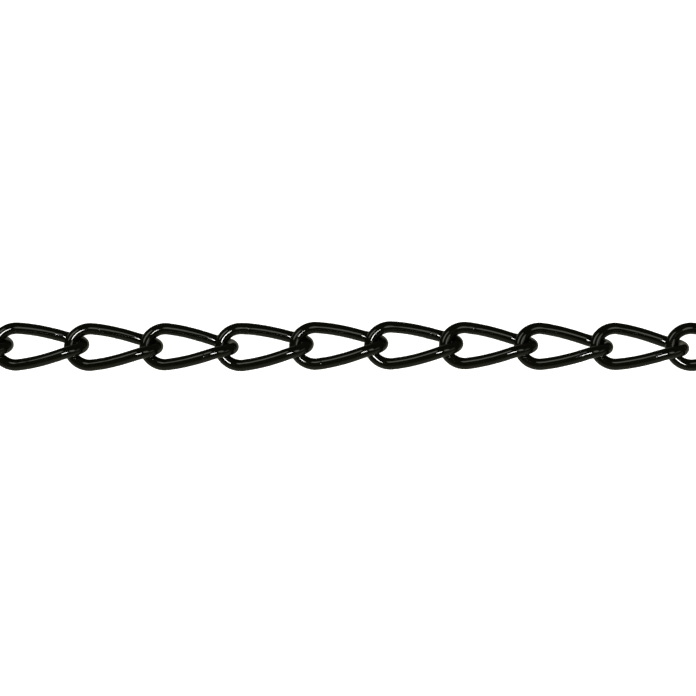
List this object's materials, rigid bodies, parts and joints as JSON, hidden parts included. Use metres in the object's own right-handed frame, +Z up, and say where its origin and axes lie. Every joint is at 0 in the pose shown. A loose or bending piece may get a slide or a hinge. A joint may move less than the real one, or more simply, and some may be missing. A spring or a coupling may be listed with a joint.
{
  "type": "twisted-link chain length",
  "caption": "Length of black-coated steel chain with twisted oval links, laid straight, sold by the metre for hanging, fencing off or tying.",
  "frame": {"origin": "middle of the laid-out chain, on the floor it lies on", "axes": "+X along the chain, from link_01 to link_30; +Y across it; +Z up"},
  "size_m": [1.0122, 0.0216, 0.0127],
  "materials": {
    "black_coating": "gloss"
  },
  "bodies": {
    "link_01": {"link_01": "black_coating"},
    "link_02": {"link_02": "black_coating"},
    "link_03": {"link_03": "black_coating"},
    "link_04": {"link_04": "black_coating"},
    "link_05": {"link_05": "black_coating"},
    "link_06": {"link_06": "black_coating"},
    "link_07": {"link_07": "black_coating"},
    "link_08": {"link_08": "black_coating"},
    "link_09": {"link_09": "black_coating"},
    "link_10": {"link_10": "black_coating"},
    "link_11": {"link_11": "black_coating"},
    "link_12": {"link_12": "black_coating"},
    "link_13": {"link_13": "black_coating"},
    "link_14": {"link_14": "black_coating"},
    "link_15": {"link_15": "black_coating"},
    "link_16": {"link_16": "black_coating"},
    "link_17": {"link_17": "black_coating"},
    "link_18": {"link_18": "black_coating"},
    "link_19": {"link_19": "black_coating"},
    "link_20": {"link_20": "black_coating"},
    "link_21": {"link_21": "black_coating"},
    "link_22": {"link_22": "black_coating"},
    "link_23": {"link_23": "black_coating"},
    "link_24": {"link_24": "black_coating"},
    "link_25": {"link_25": "black_coating"},
    "link_26": {"link_26": "black_coating"},
    "link_27": {"link_27": "black_coating"},
    "link_28": {"link_28": "black_coating"},
    "link_29": {"link_29": "black_coating"},
    "link_30": {"link_30": "black_coating"}
  },
  "joints": [
    {"name": "swing_01", "type": "hinge", "parent": "link_02", "child": "link_01", "pos_m": [-0.4649, 0, 0.00635], "axis": [0, -0.6428, 0.766], "range_deg": [-85, 85]},
    {"name": "swing_02", "type": "hinge", "parent": "link_03", "child": "link_02", "pos_m": [-0.4369, 0, 0.00635], "axis": [0, 0.6428, 0.766], "range_deg": [-85, 85]},
    {"name": "swing_03", "type": "hinge", "parent": "link_04", "child": "link_03", "pos_m": [-0.3981, 0, 0.00635], "axis": [0, 0.6428, -0.766], "range_deg": [-85, 85]},
    {"name": "swing_04", "type": "hinge", "parent": "link_05", "child": "link_04", "pos_m": [-0.3701, 0, 0.00635], "axis": [0, -0.6428, -0.766], "range_deg": [-85, 85]},
    {"name": "swing_05", "type": "hinge", "parent": "link_06", "child": "link_05", "pos_m": [-0.3313, 0, 0.00635], "axis": [0, -0.6428, 0.766], "range_deg": [-85, 85]},
    {"name": "swing_06", "type": "hinge", "parent": "link_07", "child": "link_06", "pos_m": [-0.3033, 0, 0.00635], "axis": [0, 0.6428, 0.766], "range_deg": [-85, 85]},
    {"name": "swing_07", "type": "hinge", "parent": "link_08", "child": "link_07", "pos_m": [-0.2645, 0, 0.00635], "axis": [0, 0.6428, -0.766], "range_deg": [-85, 85]},
    {"name": "swing_08", "type": "hinge", "parent": "link_09", "child": "link_08", "pos_m": [-0.2365, 0, 0.00635], "axis": [0, -0.6428, -0.766], "range_deg": [-85, 85]},
    {"name": "swing_09", "type": "hinge", "parent": "link_10", "child": "link_09", "pos_m": [-0.1977, 0, 0.00635], "axis": [0, -0.6428, 0.766], "range_deg": [-85, 85]},
    {"name": "swing_10", "type": "hinge", "parent": "link_11", "child": "link_10", "pos_m": [-0.1697, 0, 0.00635], "axis": [0, 0.6428, 0.766], "range_deg": [-85, 85]},
    {"name": "swing_11", "type": "hinge", "parent": "link_12", "child": "link_11", "pos_m": [-0.1309, 0, 0.00635], "axis": [0, 0.6428, -0.766], "range_deg": [-85, 85]},
    {"name": "swing_12", "type": "hinge", "parent": "link_13", "child": "link_12", "pos_m": [-0.1029, 0, 0.00635], "axis": [0, -0.6428, -0.766], "range_deg": [-85, 85]},
    {"name": "swing_13", "type": "hinge", "parent": "link_14", "child": "link_13", "pos_m": [-0.0641, 0, 0.00635], "axis": [0, -0.6428, 0.766], "range_deg": [-85, 85]},
    {"name": "swing_14", "type": "hinge", "parent": "link_15", "child": "link_14", "pos_m": [-0.0361, 0, 0.00635], "axis": [0, 0.6428, 0.766], "range_deg": [-85, 85]},
    {"name": "swing_15", "type": "hinge", "parent": "link_15", "child": "link_16", "pos_m": [0.0027, 0, 0.00635], "axis": [0, -0.6428, 0.766], "range_deg": [-85, 85]},
    {"name": "swing_16", "type": "hinge", "parent": "link_16", "child": "link_17", "pos_m": [0.0307, 0, 0.00635], "axis": [0, 0.6428, 0.766], "range_deg": [-85, 85]},
    {"name": "swing_17", "type": "hinge", "parent": "link_17", "child": "link_18", "pos_m": [0.0695, 0, 0.00635], "axis": [0, 0.6428, -0.766], "range_deg": [-85, 85]},
    {"name": "swing_18", "type": "hinge", "parent": "link_18", "child": "link_19", "pos_m": [0.0975, 0, 0.00635], "axis": [0, -0.6428, -0.766], "range_deg": [-85, 85]},
    {"name": "swing_19", "type": "hinge", "parent": "link_19", "child": "link_20", "pos_m": [0.1363, 0, 0.00635], "axis": [0, -0.6428, 0.766], "range_deg": [-85, 85]},
    {"name": "swing_20", "type": "hinge", "parent": "link_20", "child": "link_21", "pos_m": [0.1643, 0, 0.00635], "axis": [0, 0.6428, 0.766], "range_deg": [-85, 85]},
    {"name": "swing_21", "type": "hinge", "parent": "link_21", "child": "link_22", "pos_m": [0.2031, 0, 0.00635], "axis": [0, 0.6428, -0.766], "range_deg": [-85, 85]},
    {"name": "swing_22", "type": "hinge", "parent": "link_22", "child": "link_23", "pos_m": [0.2311, 0, 0.00635], "axis": [0, -0.6428, -0.766], "range_deg": [-85, 85]},
    {"name": "swing_23", "type": "hinge", "parent": "link_23", "child": "link_24", "pos_m": [0.2699, 0, 0.00635], "axis": [0, -0.6428, 0.766], "range_deg": [-85, 85]},
    {"name": "swing_24", "type": "hinge", "parent": "link_24", "child": "link_25", "pos_m": [0.2979, 0, 0.00635], "axis": [0, 0.6428, 0.766], "range_deg": [-85, 85]},
    {"name": "swing_25", "type": "hinge", "parent": "link_25", "child": "link_26", "pos_m": [0.3367, 0, 0.00635], "axis": [0, 0.6428, -0.766], "range_deg": [-85, 85]},
    {"name": "swing_26", "type": "hinge", "parent": "link_26", "child": "link_27", "pos_m": [0.3647, 0, 0.00635], "axis": [0, -0.6428, -0.766], "range_deg": [-85, 85]},
    {"name": "swing_27", "type": "hinge", "parent": "link_27", "child": "link_28", "pos_m": [0.4035, 0, 0.00635], "axis": [0, -0.6428, 0.766], "range_deg": [-85, 85]},
    {"name": "swing_28", "type": "hinge", "parent": "link_28", "child": "link_29", "pos_m": [0.4315, 0, 0.00635], "axis": [0, 0.6428, 0.766], "range_deg": [-85, 85]},
    {"name": "swing_29", "type": "hinge", "parent": "link_29", "child": "link_30", "pos_m": [0.4703, 0, 0.00635], "axis": [0, 0.6428, -0.766], "range_deg": [-85, 85]}
  ]
}
